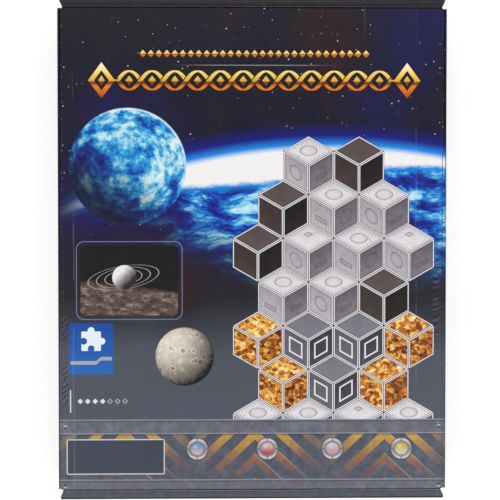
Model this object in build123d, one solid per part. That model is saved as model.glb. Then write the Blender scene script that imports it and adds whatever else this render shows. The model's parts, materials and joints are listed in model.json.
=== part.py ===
from build123d import *
import math
import os

# A printed straight-tuck-end carton, lying on its back panel. Sizes are in millimetres.
# X runs across the print, Y up the print and Z out of the front panel. The origin is the
# middle of the back panel's outer face.

# Carton
box_width = 240.0  # outside, from side panel to side panel
box_height = 300.0  # between the outer faces of the two end creases of the back panel
box_depth = 50.0  # outside, from back panel to front panel
board = 1.6  # fine-fluted board with its printed face sheet
inside_fold = 0.8  # inner radius of a folded crease
crease_gap = 0.3  # what a flap's rolled crease keeps from the panel that carries it

# Front panel's cut ends
front_inset = 0.4  # cut edge, back from the crease line
cut_bevel = 0.5  # crushed edge that the cutting rule leaves
corner_run = 2.5  # nick at each corner of the cut edge, along X

# Glued seam
glue_width = 27.0
glue_taper = 14.0  # how far each end of the glue flap slopes back, along Y
glue_setback = 7.0  # end of the glue flap, back from the crease line
seam_lift = 0.6  # raw edge of the left side panel above the back panel's outer face

# Closures
closure_lean = 6.5  # degrees that a closed end stands out past upright
closure_side_gap = 1.2  # how much narrower than the sleeve, each side
closure_nick = 3.0  # corner relief beside the hinge crease
tuck_gap = 0.3  # between the tuck flap and the inside of the front panel
tuck_length = 19.0  # from the closure's mid-plane to the tip, along the bent flap
tuck_shoulder_in = 1.9  # how far each side steps in beside the tuck crease
tuck_shoulder_run = 3.9
tuck_taper = 3.0  # how much each side closes in from the shoulder to the tip
tuck_corner = 8.0

# Dust flaps
dust_length = 50.0  # from the hinge axis to the free edge
dust_foot_gap = 1.6  # between the lower edge at the hinge and the inside of the back panel
dust_tuck_gap = 1.0  # between the upper edge at the hinge and the inside of the tuck flap
dust_swing_gap = 1.1  # what the lower edge keeps from the closure as both swing open
dust_turn = 0.5  # how far a dust flap turns for each degree that its closure opens
dust_slant = 45.0  # degrees, of the shoulder on the closure's hinge side
dust_top_fall = 1.6  # how much the upper edge drops towards the free edge
dust_corner_low = 7.0
dust_corner_high = 4.0

# Worked out from the sizes above
half_width = box_width / 2
half_height = box_height / 2
half_board = board / 2
fold_radius = inside_fold + board
panel_setback = board + crease_gap  # ends of the back and side panels, back from the crease line
closure_axis_y = half_height - half_board
closure_axis_z = half_board
closure_half = half_width - closure_side_gap
tuck_radius = box_depth - board - tuck_gap - closure_axis_z  # outside of the tuck's bend
tuck_inside = tuck_radius - board
tuck_start = fold_radius - half_board
dust_axis_x = half_width - half_board
dust_axis_y = half_height - panel_setback - half_board
dust_low = board + dust_foot_gap
dust_high = closure_axis_z + math.sqrt(tuck_inside**2 - (panel_setback - half_board) ** 2) - dust_tuck_gap
notch_setback = half_height - dust_axis_y + half_board + crease_gap

# The free edge of an opening dust flap reaches outwards by its length times the sine of its
# turn, and the closure stands clear of it only above this height.
swing = [math.radians(degree) for degree in range(1, 86)]
lean = math.radians(closure_lean)
dust_shoulder = dust_swing_gap + dust_length * max(
    math.sin(dust_turn * angle) / math.tan(angle + lean) for angle in swing
)

ends = [("top", 1), ("bottom", -1)]  # name, side of the origin along Y
sides = [("left", -1), ("right", 1)]  # name, side of the origin along X


def block(x_range, y_range, z_range):
    """A box from its lowest and highest X, Y and Z."""
    sizes = [high - low for low, high in (x_range, y_range, z_range)]
    middles = [(low + high) / 2 for low, high in (x_range, y_range, z_range)]
    return Pos(*middles) * Box(*sizes)


def tube_section(left, right):
    """The sleeve's wall in section: a rounded ring between two side faces."""
    middle = Pos((left + right) / 2, box_depth / 2)
    outer = RectangleRounded(right - left, box_depth, fold_radius)
    inner = RectangleRounded(right - left - 2 * board, box_depth - 2 * board, inside_fold)
    return middle * (outer - inner)


def strip(x_range, z_range):
    """A flat rectangle in the sleeve's section."""
    middle = Pos(sum(x_range) / 2, sum(z_range) / 2)
    return middle * Rectangle(x_range[1] - x_range[0], z_range[1] - z_range[0])


def along_sleeve(section, setback):
    """A section of the sleeve run along Y, ending short of the crease line at both ends."""
    return extrude(Plane.XZ * section, half_height - setback, both=True)


def both_ends(shape):
    """A shape at the top end and its mirror image at the bottom end."""
    return shape + mirror(shape, about=Plane.XZ)


def make_front_panel():
    flat = half_width - fold_radius
    panel = along_sleeve(strip((-flat, flat), (box_depth - board, box_depth)), front_inset)
    cut_edges = panel.edges().filter_by(Axis.X).group_by(Axis.Z)[-1]
    panel = chamfer(cut_edges, cut_bevel)
    end = half_height - front_inset
    nick = make_face(Polyline(
        (flat - corner_run, end),
        (flat, half_height - panel_setback),
        (flat, end),
        close=True,
    ))
    nick = Pos(0, 0, box_depth - board) * extrude(nick, board)
    nicks = nick + mirror(nick, about=Plane.YZ)
    return panel - both_ends(nicks)


def make_back_panel():
    flat = (-half_width + board + fold_radius, half_width - fold_radius)
    return along_sleeve(strip(flat, (0, board)), panel_setback)


def dust_notch(side):
    """Room for the rolled creases of one side panel's two dust flaps."""
    across = sorted((side * (half_width + board), side * (half_width - 2 * board)))
    notch = block(
        across,
        (half_height - notch_setback, half_height),
        (dust_low - crease_gap, dust_high + crease_gap),
    )
    return both_ends(notch)


def make_right_side_panel():
    wall = tube_section(-half_width, half_width)
    reach = strip((half_width - fold_radius, half_width), (0, box_depth))
    return along_sleeve(wall & reach, panel_setback) - dust_notch(1)


def make_left_side_panel():
    """Folded over from the front panel and glued on the flap, so its lower edge is a raw cut."""
    wall = tube_section(-half_width, half_width)
    reach = strip((-half_width, -half_width + fold_radius), (box_depth / 2, box_depth))
    lower = strip((-half_width, -half_width + board), (seam_lift, box_depth / 2))
    return along_sleeve((wall & reach) + lower, panel_setback) - dust_notch(-1)


def make_glue_flap():
    """Folded up from the back panel, against the inside of the left side panel."""
    left = -half_width + board
    wall = tube_section(left, half_width)
    reach = strip((left, left + fold_radius), (0, glue_width))
    flap = along_sleeve(wall & reach, panel_setback)
    end = half_height - panel_setback
    slope = make_face(Polyline(
        (end, fold_radius),
        (half_height - glue_setback, fold_radius),
        (half_height - glue_setback - glue_taper, glue_width),
        (end, glue_width),
        close=True,
    ))
    slope = Pos(left, 0, 0) * extrude(Plane.YZ * slope, fold_radius)
    return flap - both_ends(slope)


# Closure and tuck flap are drawn upright about their hinge axis: Y outwards, Z up.
tuck_start_outer = math.sqrt(tuck_radius**2 - tuck_start**2)
tuck_start_inner = math.sqrt(tuck_inside**2 - tuck_start**2)
fold_height = tuck_start_outer - fold_radius
tuck_angle = tuck_length / tuck_radius


def make_closure_panel():
    """An upright board with a rolled hinge crease below and the tuck's fold above."""
    turn = math.sqrt(0.5)
    fold_y = half_board - fold_radius
    outline = Polyline((fold_y, tuck_start_outer), (fold_y, tuck_start_outer - board))
    outline += ThreePointArc(
        (fold_y, tuck_start_outer - board),
        (fold_y + inside_fold * turn, fold_height + inside_fold * turn),
        (-half_board, fold_height),
    )
    outline += Line((-half_board, fold_height), (-half_board, 0))
    outline += ThreePointArc((-half_board, 0), (0, -half_board), (half_board, 0))
    outline += Line((half_board, 0), (half_board, fold_height))
    outline += ThreePointArc(
        (half_board, fold_height),
        (fold_y + fold_radius * turn, fold_height + fold_radius * turn),
        (fold_y, tuck_start_outer),
    )
    panel = extrude(Plane.YZ * make_face(outline), closure_half, both=True)
    hinge_relief = make_face(Polyline(
        (closure_half - closure_side_gap, -board),
        (closure_half, closure_nick),
        (closure_half, -board),
        close=True,
    ))
    relief = extrude(Plane.XZ * hinge_relief, board, both=True)
    return panel - relief - mirror(relief, about=Plane.YZ)


def make_tuck_flap():
    """A board bent round the hinge axis, so that it slides out with an even gap."""
    def point(radius, angle):
        return (-radius * math.sin(angle), radius * math.cos(angle))

    outer_from = math.asin(tuck_start / tuck_radius)
    inner_from = math.asin(tuck_start / tuck_inside)
    outline = Line((-tuck_start, tuck_start_inner), (-tuck_start, tuck_start_outer))
    outline += ThreePointArc(
        (-tuck_start, tuck_start_outer),
        point(tuck_radius, (outer_from + tuck_angle) / 2),
        point(tuck_radius, tuck_angle),
    )
    outline += Line(point(tuck_radius, tuck_angle), point(tuck_inside, tuck_angle))
    outline += ThreePointArc(
        point(tuck_inside, tuck_angle),
        point(tuck_inside, (inner_from + tuck_angle) / 2),
        (-tuck_start, tuck_start_inner),
    )
    flap = extrude(Plane.YZ * make_face(outline), closure_half, both=True)
    tip_y = -tuck_radius * math.sin(tuck_angle)
    shoulder_y = -tuck_start - tuck_shoulder_run
    shoulder_x = closure_half - tuck_shoulder_in
    plan = make_face(Polyline(
        (-closure_half, 0),
        (-closure_half, -tuck_start),
        (-shoulder_x, shoulder_y),
        (-shoulder_x + tuck_taper, tip_y),
        (shoulder_x - tuck_taper, tip_y),
        (shoulder_x, shoulder_y),
        (closure_half, -tuck_start),
        (closure_half, 0),
        close=True,
    ))
    plan = fillet(plan.vertices().group_by(Axis.Y)[0], tuck_corner)
    return flap & extrude(plan, box_depth)


def closed_end(shape, side):
    """Leans an upright closure shape out and sets it on the hinge of the top or bottom end."""
    leaning = Pos(0, closure_axis_y, closure_axis_z) * Rot(-closure_lean, 0, 0) * shape
    return leaning if side > 0 else mirror(leaning, about=Plane.XZ)


def make_dust_flap():
    """The top right flap: rolled at its hinge, with a slanted shoulder on the closure's hinge side."""
    slant_run = (dust_shoulder - dust_low) / math.tan(math.radians(dust_slant))
    root = half_board
    outline = make_face(Polyline(
        (-root, dust_low),
        (root, dust_low),
        (root + slant_run, dust_shoulder),
        (dust_length, dust_shoulder),
        (dust_length, dust_high - dust_top_fall),
        (root, dust_high),
        (-root, dust_high),
        close=True,
    ))
    free = outline.vertices().group_by(Axis.X)[-1].sort_by(Axis.Y)
    outline = fillet(free[0], dust_corner_low)
    free = outline.vertices().filter_by_position(Axis.X, dust_length - 0.01, dust_length + 0.01)
    outline = fillet(free.sort_by(Axis.Y)[-1], dust_corner_high)
    flap = extrude(Plane.XZ * outline, half_board, both=True)
    leaf = block((0, dust_length), (-half_board, half_board), (dust_low, dust_high))
    roll = Pos(0, 0, dust_low) * extrude(Circle(half_board), dust_high - dust_low)
    flap = flap & (leaf + roll)
    return Pos(dust_axis_x, dust_axis_y, 0) * mirror(flap, about=Plane.YZ)


pieces = {
    "front_panel": make_front_panel(),
    "back_panel": make_back_panel(),
    "left_side_panel": make_left_side_panel(),
    "right_side_panel": make_right_side_panel(),
    "glue_flap": make_glue_flap(),
}
closure_panel = make_closure_panel()
tuck_flap = make_tuck_flap()
dust_flap = make_dust_flap()
for end_name, end_side in ends:
    pieces[f"{end_name}_closure_panel"] = closed_end(closure_panel, end_side)
    pieces[f"{end_name}_tuck_flap"] = closed_end(tuck_flap, end_side)
    for side_name, side in sides:
        flap = dust_flap if side > 0 else mirror(dust_flap, about=Plane.YZ)
        flap = flap if end_side > 0 else mirror(flap, about=Plane.XZ)
        pieces[f"{end_name}_{side_name}_dust_flap"] = flap

os.makedirs("parts", exist_ok=True)
for name, piece in pieces.items():
    export_step(piece, f"parts/{name}.step")
print(len(pieces), "pieces written")
print("closure axis", closure_axis_y, closure_axis_z, "dust axis", dust_axis_x, dust_axis_y)
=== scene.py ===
import json
import math

import bmesh
import bpy
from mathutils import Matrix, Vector


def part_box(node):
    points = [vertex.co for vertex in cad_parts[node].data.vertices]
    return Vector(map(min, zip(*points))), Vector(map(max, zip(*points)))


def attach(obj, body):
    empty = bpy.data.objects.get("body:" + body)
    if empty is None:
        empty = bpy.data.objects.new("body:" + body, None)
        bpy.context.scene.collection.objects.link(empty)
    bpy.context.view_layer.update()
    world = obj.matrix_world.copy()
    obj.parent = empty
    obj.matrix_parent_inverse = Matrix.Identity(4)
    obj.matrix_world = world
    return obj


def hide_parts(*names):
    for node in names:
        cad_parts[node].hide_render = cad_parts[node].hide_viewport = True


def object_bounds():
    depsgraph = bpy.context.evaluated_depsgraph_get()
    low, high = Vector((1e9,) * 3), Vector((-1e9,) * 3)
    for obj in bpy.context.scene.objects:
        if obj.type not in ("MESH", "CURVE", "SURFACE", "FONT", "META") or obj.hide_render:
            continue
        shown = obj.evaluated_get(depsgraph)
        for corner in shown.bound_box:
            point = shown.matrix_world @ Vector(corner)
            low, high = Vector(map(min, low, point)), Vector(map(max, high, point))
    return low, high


# A printed tuck-end carton of fine-fluted board, lying on its back panel.
# Sizes here are in millimetres, along the frame's axes: X across the print, Y up it, Z out of it.
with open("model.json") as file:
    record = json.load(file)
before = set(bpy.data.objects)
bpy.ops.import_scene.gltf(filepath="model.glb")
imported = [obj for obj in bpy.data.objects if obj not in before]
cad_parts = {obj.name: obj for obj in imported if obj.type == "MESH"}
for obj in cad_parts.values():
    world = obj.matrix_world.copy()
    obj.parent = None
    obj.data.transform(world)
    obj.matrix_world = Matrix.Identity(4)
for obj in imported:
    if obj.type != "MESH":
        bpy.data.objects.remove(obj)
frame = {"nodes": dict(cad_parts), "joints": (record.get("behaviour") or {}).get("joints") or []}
cadLow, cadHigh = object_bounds()
mm = 0.001


def sizeOf(node):
    low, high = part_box(node)
    return low / mm, high / mm


frontLow, frontHigh = sizeOf("front_panel")
closureHigh = sizeOf("top_closure_panel")[1]
halfWidth = sizeOf("right_side_panel")[1].x
depth = frontHigh.z
board = depth - frontLow.z
cutEnd = frontHigh.y  # the front panel's cut ends
foldLine = frontHigh.x  # where the flat front panel meets its rounded long edges
foldRadius = halfWidth - foldLine
joints = {joint["name"]: joint for joint in frame["joints"]}
ends = {"top": 1, "bottom": -1}  # side of the origin along Y
sides = {"left": -1, "right": 1}  # side of the origin along X


# Node trees

def operation(name, swapped=False):
    def apply(self, other):
        return self.graph.math(name, *((other, self) if swapped else (self, other)))
    return apply


class Field:
    # a socket's value: arithmetic on it adds Math nodes
    __add__ = __radd__ = operation("ADD")
    __sub__ = operation("SUBTRACT")
    __rsub__ = operation("SUBTRACT", swapped=True)
    __mul__ = __rmul__ = operation("MULTIPLY")
    __truediv__ = operation("DIVIDE")
    __rtruediv__ = operation("DIVIDE", swapped=True)
    __pow__ = operation("POWER")
    __lt__ = operation("LESS_THAN")
    __gt__ = operation("GREATER_THAN")

    def __init__(self, graph, socket):
        self.graph = graph
        self.socket = socket

    def __neg__(self):
        return self * -1

    def __abs__(self):
        return self.graph.math("ABSOLUTE", self)


class Graph:
    def __init__(self, tree):
        self.tree = tree

    def feed(self, socket, value):
        if isinstance(value, Field):
            self.tree.links.new(value.socket, socket)
        else:
            socket.default_value = value

    def node(self, kind, settings=None, values=None, output=0):
        made = self.tree.nodes.new(kind)
        for name, value in (settings or {}).items():
            if name == "stops":
                while len(made.color_ramp.elements) < len(value):
                    made.color_ramp.elements.new(0.5)
                for element, (position, colour) in zip(made.color_ramp.elements, value):
                    element.position = position
                    element.color = colour
            else:
                setattr(made, name, value)
        for name, value in (values or {}).items():
            self.feed(made.inputs[name], value)
        return Field(self, made.outputs[output])

    def math(self, operation, *values):
        return self.node("ShaderNodeMath", {"operation": operation}, dict(enumerate(values)))

    def lowest(self, first, second):
        return self.math("MINIMUM", first, second)

    def highest(self, first, second):
        return self.math("MAXIMUM", first, second)

    def at(self, x=0.0, y=0.0, z=0.0):
        return self.node("ShaderNodeCombineXYZ", None, {0: x, 1: y, 2: z})


class Paint(Graph):
    # a material built in layers, with its coordinates in millimetres
    def __init__(self, name):
        self.material = bpy.data.materials.new(name)
        self.material.use_nodes = True
        super().__init__(self.material.node_tree)
        self.shader = self.tree.nodes["Principled BSDF"]
        place = self.node("ShaderNodeTexCoord", output="Object")
        place = self.node("ShaderNodeVectorMath", {"operation": "SCALE"}, {0: place, "Scale": 1 / mm})
        self.x = self.node("ShaderNodeSeparateXYZ", None, {0: place}, "X")
        split = self.x.socket.node
        self.y = Field(self, split.outputs["Y"])
        self.z = Field(self, split.outputs["Z"])
        self.picture = None

    def set(self, values):
        for name, value in values.items():
            self.feed(self.shader.inputs[name], value)

    def red(self, colour):
        return self.node("ShaderNodeSeparateColor", None, {0: colour})

    def bump(self, height):
        values = {"Strength": 1.0, "Distance": mm, "Height": height}
        self.set({"Normal": self.node("ShaderNodeBump", None, values)})

    def mix(self, mask, under, over):
        # under and over are fields or printed colours
        under, over = [ink(*part) if isinstance(part, tuple) else part for part in (under, over)]
        return self.node("ShaderNodeMix", {"data_type": "RGBA"}, {0: mask, 6: under, 7: over}, 2)

    def lay(self, mask, colour):
        self.picture = self.mix(mask, self.picture, colour)

    def ramp(self, value, *stops):
        return self.node("ShaderNodeValToRGB", {"stops": stops}, {0: value})

    def shades(self, value, inks):
        # a ramp through printed colours, each at its place
        return self.ramp(value, *[(place, ink(*colour)) for place, colour in inks.items()])

    def fill(self, distance, soft=0.3):
        # 1 where a signed distance is inside, with an edge that is soft over so many millimetres
        values = {"Value": distance, "From Min": soft / 2, "From Max": -soft / 2}
        return self.node("ShaderNodeMapRange", None, values)

    def line(self, distance, width, soft=0.3):
        return self.fill(abs(distance) - width / 2, soft)

    def fade(self, value, start, stop):
        # 0 at start and 1 at stop, easing in and out
        values = {"Value": value, "From Min": start, "From Max": stop}
        return self.node("ShaderNodeMapRange", {"interpolation_type": "SMOOTHSTEP"}, values)

    def noise(self, x, y, size, detail=2.0, roughness=0.5, seed=0.0):
        values = {"Vector": self.at(x / size, y / size, seed), "Scale": 1.0}
        values |= {"Detail": detail, "Roughness": roughness}
        return self.node("ShaderNodeTexNoise", None, values)

    def cells(self, x, y, size, output="Distance", seed=0.0):
        values = {"Vector": self.at(x / size, y / size, seed), "Scale": 1.0}
        return self.node("ShaderNodeTexVoronoi", None, values, output)

    def length(self, x, y):
        return (x * x + y * y) ** 0.5

    def roundedBox(self, x, y, wide, tall, radius):
        across = self.highest(abs(x) - (wide / 2 - radius), 0)
        along = self.highest(abs(y) - (tall / 2 - radius), 0)
        return self.length(across, along) - radius

    def lozenge(self, x, y, halfWide, halfTall):
        slope = halfWide * halfTall / math.hypot(halfWide, halfTall)
        return (abs(x) / halfWide + abs(y) / halfTall - 1) * slope


veil = 0.0225  # light that the gloss lays over every printed colour


def ink(red, green, blue):
    # a colour as it shows on the print, from 0 to 255
    linear = [((part / 255 + 0.055) / 1.055) ** 2.4 for part in (red, green, blue)]
    return (*[max(part - veil, 0.001) for part in linear], 1)


# The print

def fromMiddle(thing, x, y):
    return x - thing["x"], y - thing["y"]


sky = {
    "inks": {  # by height
        -150: (84, 89, 101), -100: (84, 89, 100), -62: (81, 86, 96), -46: (64, 67, 74), -30: (50, 49, 53),
        -8: (48, 45, 56), 16: (47, 43, 68), 46: (45, 42, 68), 72: (43, 42, 54), 150: (44, 44, 49),
    },
    "wander": 30,  # how far those colours drift up and down
    "hazes": (
        # colour, share, size, squash, detail, seed, range of the noise, heights it comes in over
        ((62, 44, 44), 0.6, 62, 0.6, 2, 1.6, (0.5, 0.7), (-70, -25)),
        ((47, 43, 98), 0.5, 70, 0.5, 3, 7.3, (0.44, 0.64), (40, 90)),
    ),
    "star": (226, 228, 236),
    "starSizes": ((4.3, 0.36), (7.6, 0.46), (14.0, 0.6)),  # spacing and radius
    "starGaps": 0.26,  # share of the places that stay dark
    "starRise": 25,  # how far up the stars come in
}


def paintSky(paint, x, y):
    bottom, top = min(sky["inks"]), max(sky["inks"])
    inks = {(height - bottom) / (top - bottom): colour for height, colour in sky["inks"].items()}
    level = y - bottom + sky["wander"] * paint.noise(x, y, 60, 3, seed=2.0) - sky["wander"] / 2
    paint.picture = paint.shades(level / (top - bottom), inks)
    for colour, share, size, squash, detail, seed, patches, heights in sky["hazes"]:
        haze = paint.fade(paint.noise(x, y * squash, size, detail, seed=seed), *patches)
        paint.lay(haze * share * paint.fade(y, *heights), colour)


def paintStars(paint, x, y, low):
    lit = 0
    for spacing, radius in sky["starSizes"]:
        near = paint.cells(x, y, spacing, seed=spacing)
        chance = paint.red(paint.cells(x, y, spacing, "Color", seed=spacing))
        star = paint.fill(near * spacing - radius * chance) * (0.2 + 0.7 * chance)
        lit = paint.highest(lit, star * (chance > sky["starGaps"]))
    paint.lay(lit * paint.fade(y, low, low + sky["starRise"]), sky["star"])


planet = {
    "x": 48, "y": -322, "radius": 384, "noon": 118, "dusk": (242, 176), "fall": 0.55, "shore": (-16, 24),
    "thin": 2.0, "thick": 17, "thickAt": 12, "thickReach": 128,  # the glare along the edge
    "haloOut": (20, 2), "haloIn": (-26, -4), "rimOut": (9, 0.5), "rimIn": 7, "glareOut": (3.5, -1.5),
    "halo": (20, 44, 150), "rim": (40, 150, 232), "glare": (238, 236, 234),
    "clouds": {
        0.38: (18, 26, 96), 0.47: (12, 58, 160), 0.54: (40, 132, 206),
        0.61: (150, 214, 236), 0.7: (228, 234, 238),
    },
}


def paintPlanet(paint, x, y):
    # the lit edge of a cloudy planet, thick in the middle, with its sea fading out below
    out = paint.length(x - planet["x"], y - planet["y"]) - planet["radius"]
    lit = paint.fade(abs(x - planet["noon"]), *planet["dusk"])
    halo = paint.fade(out, *planet["haloOut"]) ** 1.4 * paint.fade(out, *planet["haloIn"]) * lit
    paint.lay(halo, planet["halo"])
    swirl = paint.noise(x, y, 30, 3, seed=4.2)
    streaks = paint.noise(x + 26 * swirl, y * 2.4 + 30 * swirl, 30, 6, 0.72, seed=9.1)
    sea = paint.shades(streaks, planet["clouds"])
    shore = y + 24 * swirl + planet["fall"] * paint.lowest(x, 0)
    paint.lay(paint.fill(out, 1.5) * paint.fade(shore, *planet["shore"]), sea)
    swell = paint.fade(abs(x - planet["thickAt"]), planet["thickReach"], 0)
    wide = planet["thin"] + (planet["thick"] - planet["thin"]) * swell
    ragged = (paint.noise(x, y * 2, 9, 4, 0.7, seed=5.0) - 0.5) * 5
    below = paint.fade(out + ragged, -wide - 3, 0.55 - wide)
    rim = lit * paint.fade(out, *planet["rimOut"]) * paint.fade(out, -wide - planet["rimIn"], -wide)
    paint.lay(rim, planet["rim"])
    paint.lay(lit * paint.fade(out, *planet["glareOut"]) * below, planet["glare"])


globe = {
    "x": -77, "y": 51, "radius": 36, "light": (0.62, 0.78), "dusk": (0.25, -0.85), "bulge": 0.7,
    "land": {
        0.36: (16, 30, 104), 0.46: (18, 84, 178), 0.53: (56, 164, 214),
        0.6: (176, 220, 232), 0.68: (232, 234, 236),
    },
    "night": (22, 24, 56), "edge": (214, 232, 242),
}


def paintGlobe(paint, x, y):
    radius = globe["radius"]
    across = (x - globe["x"]) / radius
    along = (y - globe["y"]) / radius
    reach = paint.length(across, along)
    inside = paint.fill((reach - 1) * radius, 0.5)
    toLight = across * globe["light"][0] + along * globe["light"][1]
    bulge = 1 + reach * reach * globe["bulge"]  # the pattern crowds towards the edge
    weather = paint.noise(across * bulge * 45, along * bulge * 45, 24, 6, 0.66, seed=5.5) + toLight * 0.08
    paint.lay(inside, paint.shades(weather, globe["land"]))
    paint.lay(inside * paint.fade(toLight, *globe["dusk"]) * 0.94, globe["night"])
    rim = paint.line((reach - 1) * radius + 0.4, 0.8, 0.9) * paint.fade(toLight, 0.1, 0.8)
    paint.lay(rim, globe["edge"])


moon = {
    "x": -42, "y": -66, "radius": 18, "bulge": 0.5, "pit": 6.0, "smallPit": 2.4, "pitEdge": 0.34,
    "inks": {0.05: (38, 37, 40), 0.5: (142, 134, 124), 0.95: (226, 218, 204)},
}


def paintMoon(paint, x, y):
    across, along = fromMiddle(moon, x, y)
    reach = paint.length(across, along) / moon["radius"]
    height = paint.math("SQRT", paint.highest(1 - reach * reach, 0))
    bulge = 1 + reach * reach * moon["bulge"]
    pit = paint.cells(across * bulge, along * bulge, moon["pit"], seed=3.0)
    edge = moon["pitEdge"]
    pits = paint.fade(abs(pit - edge), 0.1, 0.0) * 0.16 - paint.fade(pit, edge, 0.12) * 0.2
    small = paint.cells(across * bulge, along * bulge, moon["smallPit"], seed=6.0)
    pits = pits - paint.fade(small, 0.3, 0.1) * 0.12
    light = 0.5 * height + (along - across) / moon["radius"] * 0.34 + 0.2 + pits
    light = light + (paint.noise(across, along, 5, 4, 0.7) - 0.5) * 0.4
    inside = paint.fill((reach - 1) * moon["radius"], 0.5)
    paint.lay(inside, paint.shades(light, moon["inks"]))


blocks = {
    "x": 50, "y": -29, "edge": 18.0, "halfWide": 52, "shoulder": 96, "lowRow": 2.25, "foilFrom": 0.7,
    "trimWide": 0.8, "seamWide": 0.22, "rings": (4.2, 3.3), "window": 0.24, "brownShare": 0.42,
    "rivetIn": 0.13, "rivetPitch": 0.106,  # as shares of a face
    "silver": {0.1: (104, 98, 104), 0.5: (168, 162, 168), 0.95: (226, 222, 226)},
    "brown": {0.1: (44, 37, 38), 0.5: (70, 60, 60), 0.95: (98, 88, 87)},
    "slate": {0.1: (66, 64, 70), 0.5: (98, 96, 104), 0.95: (128, 126, 134)},
    "foil": {
        0.12: (64, 32, 16), 0.34: (150, 82, 34), 0.5: (206, 134, 56),
        0.68: (240, 196, 108), 0.86: (252, 240, 206),
    },
    "seam": (38, 34, 37), "trim": (228, 225, 228), "rivet": (84, 78, 82),
}


def paintBlocks(paint, x, y):
    # a pile of stacked cubes: each cell of a honeycomb shows a cube's top, left and right faces
    edge = blocks["edge"]
    x, y = fromMiddle(blocks, x, y)
    wide = edge * math.sqrt(3)
    tall = edge * 3
    tries = []
    for shift in (0, 0.5):
        across = x - (paint.math("ROUND", x / wide - shift) + shift) * wide
        along = y - (paint.math("ROUND", y / tall - shift) + shift) * tall
        tries.append((across, along, across * across + along * along))
    even, odd = tries
    pick = even[2] < odd[2]
    across = odd[0] + (even[0] - odd[0]) * pick
    along = odd[1] + (even[1] - odd[1]) * pick
    cellX = x - across
    cellY = y - along
    inPile = abs(cellX) < blocks["halfWide"]
    shown = inPile * (abs(cellX) + cellY * 0.9 < blocks["shoulder"])
    place = paint.at(paint.math("ROUND", cellX), paint.math("ROUND", cellY))
    dice = paint.node("ShaderNodeTexWhiteNoise", None, {0: place})

    # u and v run over each face from its corner nearest the eye, from 0 to 1
    turn = abs(across) / wide
    rise = along / edge
    onLid = rise > turn
    u = 2 * turn + (rise - turn) * onLid
    v = turn - rise + 2 * (rise - turn) * onLid
    faceWide = edge * 0.866
    border = faceWide * paint.lowest(paint.lowest(u, 1 - u), paint.lowest(v, 1 - v))
    onLeft = (across < 0) * (1 - onLid)
    grime = paint.noise(x, y, 7, 4, 0.72, seed=6.0) - 0.5
    shade = 0.16 + 0.68 * onLid + 0.38 * onLeft + (v - 0.5) * (0.5 - onLid) * 0.3 + grime * 0.3
    look = paint.shades(shade, blocks["silver"])
    near = blocks["rivetPitch"] / 2
    margin = blocks["rivetIn"]
    rivet = paint.length(paint.math("PINGPONG", u - margin, near), paint.math("PINGPONG", v - margin, near))
    rivet = paint.fill(rivet * edge - 0.3) * paint.line(border - margin * faceWide, 0.9)
    look = paint.mix(rivet * 0.8, look, blocks["rivet"])
    middle = paint.length(u - 0.5, v - 0.5) * edge
    outer, inner = blocks["rings"]
    hatch = paint.line(middle - outer, 0.5) + paint.line(middle - inner, 0.3) * 0.5
    slot = paint.highest(abs(u - 0.5) - 0.22, abs(v - 0.62) - 0.07) * edge
    detail = paint.math("FRACT", dice * 7 + onLeft * 0.4 + onLid * 0.7) > 0.5
    marks = hatch * detail + (paint.line(slot, 0.45) + paint.fill(slot) * 0.3) * (1 - detail)
    dirt = paint.fade(paint.noise(x, y, 3.4, 5, 0.82, seed=14.0), 0.58, 0.7) * 0.8
    look = paint.mix(paint.highest(paint.lowest(marks, 1), dirt) * 0.75, look, blocks["rivet"])
    isBrown = dice + cellX * 0.006 < blocks["brownShare"]
    look = paint.mix(isBrown, look, paint.shades(shade, blocks["brown"]))

    isLow = abs(cellY + edge * blocks["lowRow"]) < edge
    look = paint.mix(isLow, look, paint.shades(shade, blocks["slate"]))
    window = (paint.highest(abs(u - 0.5), abs(v - 0.5)) - blocks["window"]) * edge
    look = paint.mix(isLow * (1 - onLid) * paint.line(window, 1.0), look, blocks["trim"])
    bend = paint.noise(x, y, 6, 3, 0.6, seed=6.0) * 6
    facet = paint.red(paint.cells(x + bend, y * 1.3 - bend, 2.6, "Color", seed=8.0))
    crumple = facet * 0.46 + paint.noise(x, y, 2.2, 3, 0.75, seed=3.3) * 0.9 - 0.36 + shade * 0.25
    isFoil = isLow * (abs(cellX) > wide * blocks["foilFrom"])
    look = paint.mix(isFoil, look, paint.shades(crumple, blocks["foil"]))
    paint.picture = paint.mix(shown, paint.picture, look)
    trimWide = blocks["trimWide"]
    paint.lay(shown * paint.line(border - (trimWide + 0.15), 0.28), blocks["seam"])
    paint.lay(shown * paint.fill(border - trimWide, 0.25), blocks["trim"])
    paint.lay(shown * paint.fill(border - blocks["seamWide"], 0.25), blocks["seam"])


title = {
    "x": 1.2, "y": 104, "tall": 22, "halfWide": 84, "outline": (14, 12, 16),
    "period": 28, "swing": 5.6, "thin": 0.45, "thick": 1.2, "gap": 0.7,  # the braid's two strands
    "bead": (2.3, 2.9), "thread": 0.5, "threadHalf": 2,
    "finialX": 94, "finial": (8.2, 11.0), "hollow": (4.6, 6.2), "jewel": (2.0, 3.0),
    "ruleY": 113.4, "ruleWide": 0.35, "ruleFade": (54, 19), "rule": (196, 186, 170),
    "rowY": 120.3, "rowHalf": 71, "rowPitch": 4.9, "rowLozenge": (2.1, 2.3),
    "gold": {
        0.0: (150, 68, 22), 0.33: (232, 128, 42), 0.44: (92, 44, 20),
        0.5: (226, 168, 58), 0.72: (246, 214, 110), 1.0: (250, 244, 228),
    },
}


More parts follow.
